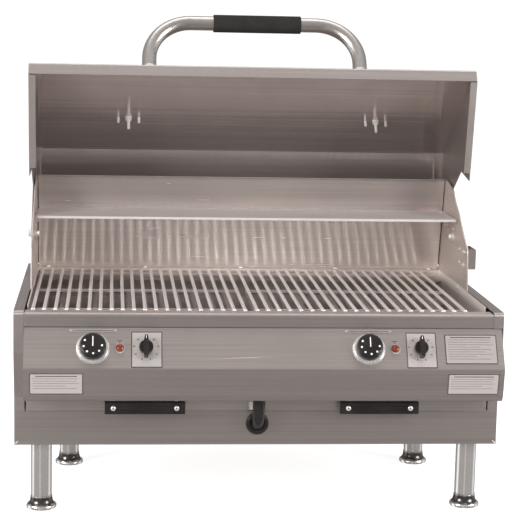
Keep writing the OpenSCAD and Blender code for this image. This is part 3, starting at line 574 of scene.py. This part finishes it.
def control(side, kind="thermostat"):
    """Local frame on the control face, around the spindle of a knob."""
    joint = joints[f"{kind}_{side}_turn"]
    return surface(Vector(joint["pos_m"]), -Vector(joint["axis"]))


def in_front_of(name, at):
    """A local frame, moved out to the front of a node."""
    out = max((at.inverted() @ vert.co).z for vert in nodes[name].data.vertices)
    return at @ Matrix.Translation((0, 0, out))


# ---------- detail pieces ----------
# A ray's measures here are its inner and outer end from the middle, its width and its thickness
POINTER = (-2.5 * MM, 14.5 * MM, 1.7 * MM, 0.25 * MM)
TIMER_LINE = (11 * MM, 16 * MM, 0.9 * MM, 0.2 * MM)
DOT_ANGLES = (95, 136, 177, 218, 259, 300)  # degrees clockwise from a knob's pointer
DOT_RING = 15 * MM
DOT_RADIUS = 1.7 * MM
DOT_HEIGHT = 0.35 * MM
RIB_COUNT = 60
RIB_RING = 21.4 * MM
RIB_MIDDLE = 11.5 * MM                  # height of a rib's middle above the control face
RIB_SIZE = (1.1 * MM, 7 * MM, 0.45 * MM)


def make_knob_marks():
    """Pointer and dots on each thermostat knob, ribs around it, and a line on each timer knob."""
    rib_seat = Matrix.Translation((0, RIB_RING, RIB_MIDDLE)) @ Matrix.Rotation(-math.pi / 2, 4, "X")
    for side in SIDES:
        at = control(side)
        marks = Piece(f"thermostat_marks_{side}")
        marks.at = in_front_of(f"{side}_thermostat_knob", at)
        marks.ray(0, *POINTER)
        for turn in (math.radians(angle) for angle in DOT_ANGLES):
            marks.dome(DOT_RING * math.sin(turn), DOT_RING * math.cos(turn), DOT_RADIUS, DOT_HEIGHT, sides=12)
        marks.finish(f"thermostat_{side}", paints["print_white"])
        ribs = Piece(f"thermostat_ribs_{side}")
        for turn in turns(RIB_COUNT):
            ribs.at = at @ Matrix.Rotation(turn, 4, "Z") @ rib_seat
            ribs.tile(0, 0, *RIB_SIZE)
        ribs.finish(f"thermostat_{side}", paints["black_plastic"])
        line = Piece(f"timer_mark_{side}")
        line.at = in_front_of(f"{side}_timer_knob", control(side, "timer"))
        line.ray(0, *TIMER_LINE)
        line.finish(f"timer_{side}", paints["print_white"])


INK = 0.12 * MM                         # thickness of print
TIMER_PLATE_THICK = 1.2 * MM
TIMER_EDGE = 1.6 * MM
TICK_COUNT = 36                         # places for ticks around a timer; the first and the last stay empty
LONG_TICK_EVERY = 4
LONG_TICK = (18 * MM, 22 * MM, 1.5 * MM, INK)
SHORT_TICK = (20 * MM, 21.5 * MM, 0.6 * MM, INK)

STRIP_HEIGHT = 10 * MM                  # a plate that is no taller is a plain strip with one rule
STRIP_EDGE = 0.4 * MM
STRIP_RULE = 1.3 * MM
PLATE_EDGE = 1.5 * MM
PLATE_MARGINS = 12 * MM                 # height of a plate that has no rules, at its top and bottom together
TITLE_RULE = 1.5 * MM
TITLE_DROP = 5 * MM
TITLE_SHARE = 0.78                      # share of the plate's width
STRIP_SHARE = 0.86
RULE = 0.55 * MM
RULE_STEP = 4.2 * MM
RULE_START = -0.44                      # where each rule starts, from the middle, in widths of the plate
RULE_SHARES = (0.84, 0.8, 0.86, 0.62, 0.82, 0.7, 0.85, 0.55, 0.8, 0.6)

# Dashes above a lamp: how far above its middle, how wide and how thick
LAMP_DASHES = ((13.5 * MM, 8.5 * MM, 1.1 * MM), (10.6 * MM, 2.5 * MM, 1.6 * MM))


def print_timer(side, at, width, height):
    """Dark edge and ticks of a timer's plate."""
    dial = Piece(f"timer_print_{side}")
    dial.at = at
    dial.border(width, height, TIMER_EDGE, INK)
    dial.at = control(side, "timer") @ Matrix.Translation((0, 0, TIMER_PLATE_THICK))
    for i, turn in enumerate(turns(TICK_COUNT)[1:-1], 1):
        dial.ray(turn, *(LONG_TICK if i % LONG_TICK_EVERY == 0 else SHORT_TICK))
    dial.finish("frame", paints["print_dark"])


def print_plate(number, at, width, height):
    """Dark edge and blank rules of a data plate."""
    edge = Piece(f"plate_print_{number}")
    edge.at = at
    if height > STRIP_HEIGHT:
        edge.border(width, height, PLATE_EDGE, INK)
        top = height / 2 - TITLE_DROP
        edge.tile(0, top, width * TITLE_SHARE, TITLE_RULE, INK)
        for row in range(int((height - PLATE_MARGINS) / RULE_STEP)):
            share = RULE_SHARES[row % len(RULE_SHARES)]
            x = width * (RULE_START + share / 2)
            edge.tile(x, top - (row + 1) * RULE_STEP, share * width, RULE, INK)
    else:
        edge.border(width, height, STRIP_EDGE, INK)
        edge.tile(0, 0, width * STRIP_SHARE, STRIP_RULE, INK)
    edge.finish("frame", paints["print_dark"])


def make_plate_print():
    """Thin printed edges, ticks and blank rules, and two dashes above each lamp; there is no lettering."""
    for side, plate in zip(SIDES, plates_of("timer_plates")):
        print_timer(side, *plate)
    for number, plate in enumerate(plates_of("data_plates")):
        print_plate(number, *plate)
    for side in SIDES:
        rule = Piece(f"lamp_print_{side}")
        rule.at = control(side).lerp(control(side, "timer"), 0.5)
        for above, wide, thick in LAMP_DASHES:
            rule.tile(0, above, wide, thick, INK)
        rule.finish("frame", paints["print_dark"])


ROD_COUNT = 20                          # rods of each grate
ROD_PITCH = 18.6 * MM
ROD_RADIUS = 3 * MM
TIP_HEIGHT = 1.0 * MM


def make_rod_tips():
    """Rounded front ends of the grate rods."""
    for side in SIDES:
        low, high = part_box(f"{side}_grate")
        tips = Piece(f"rod_tips_{side}")
        first = (low.x + high.x) / 2 - ROD_PITCH * (ROD_COUNT - 1) / 2
        for i in range(ROD_COUNT):
            tips.at = surface((first + i * ROD_PITCH, low.y, high.z - ROD_RADIUS), (0, -1, 0))
            tips.dome(0, 0, ROD_RADIUS * 0.98, TIP_HEIGHT)
        tips.finish(f"grate_{side}", paints["grate_rods"], smooth=True)


WELD_SPOTS = 4
WELD_START = (2.6 * MM, 2.4 * MM)       # first spot, in from the side and up from the lower edge
WELD_STEP = (1.0 * MM, 1.1 * MM)
WELD_RADIUS = 1.1 * MM
WELD_HEIGHT = 0.45 * MM


def make_weld_marks():
    """Ground weld spots across the lower front corners of the base pan."""
    low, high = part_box("base_pan")
    beads = Piece("base_weld_marks")
    for side, edge in ((-1, low.x), (1, high.x)):
        for spot in range(WELD_SPOTS):
            inwards, up = (start + spot * step for start, step in zip(WELD_START, WELD_STEP))
            beads.at = surface((edge - side * inwards, low.y, low.z + up), (0, -1, 0))
            beads.dome(0, 0, WELD_RADIUS, WELD_HEIGHT, sides=12)
    beads.finish("frame", paints["fasteners"], smooth=True)


SCREW_HEAD_RADIUS = 4.4 * MM
CROSS_LENGTH = 4.2 * MM
CROSS_WIDTH = 0.9 * MM
CROSS_HEIGHT = 0.08 * MM


def make_screw_crosses():
    """Painted shade: a flat dark cross on the head of each screw of the tray handles, standing in for the
    shaded cross recess.
    """
    for side in SIDES:
        node = nodes[f"tray_handle_screws_{side}"]
        low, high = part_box(node.name)
        cross = Piece(f"tray_screw_cross_{side}")
        for x in (low.x + SCREW_HEAD_RADIUS, high.x - SCREW_HEAD_RADIUS):
            cross.at = surface((x, low.y, (low.z + high.z) / 2), (0, -1, 0))
            # Painted shade: two flat dark bars in place of the shaded cross recess
            cross.tile(0, 0, CROSS_LENGTH, CROSS_WIDTH, CROSS_HEIGHT)
            cross.tile(0, 0, CROSS_WIDTH, CROSS_LENGTH, CROSS_HEIGHT)
        cross.finish(f"tray_{side}", paints["print_dark"])


make_camera()
make_studio()
make_floor()
paints = make_materials()
dress_frame(paints)
make_knob_marks()
make_plate_print()
make_rod_tips()
make_weld_marks()
make_screw_crosses()
bpy.context.scene.view_settings.view_transform = "Standard"
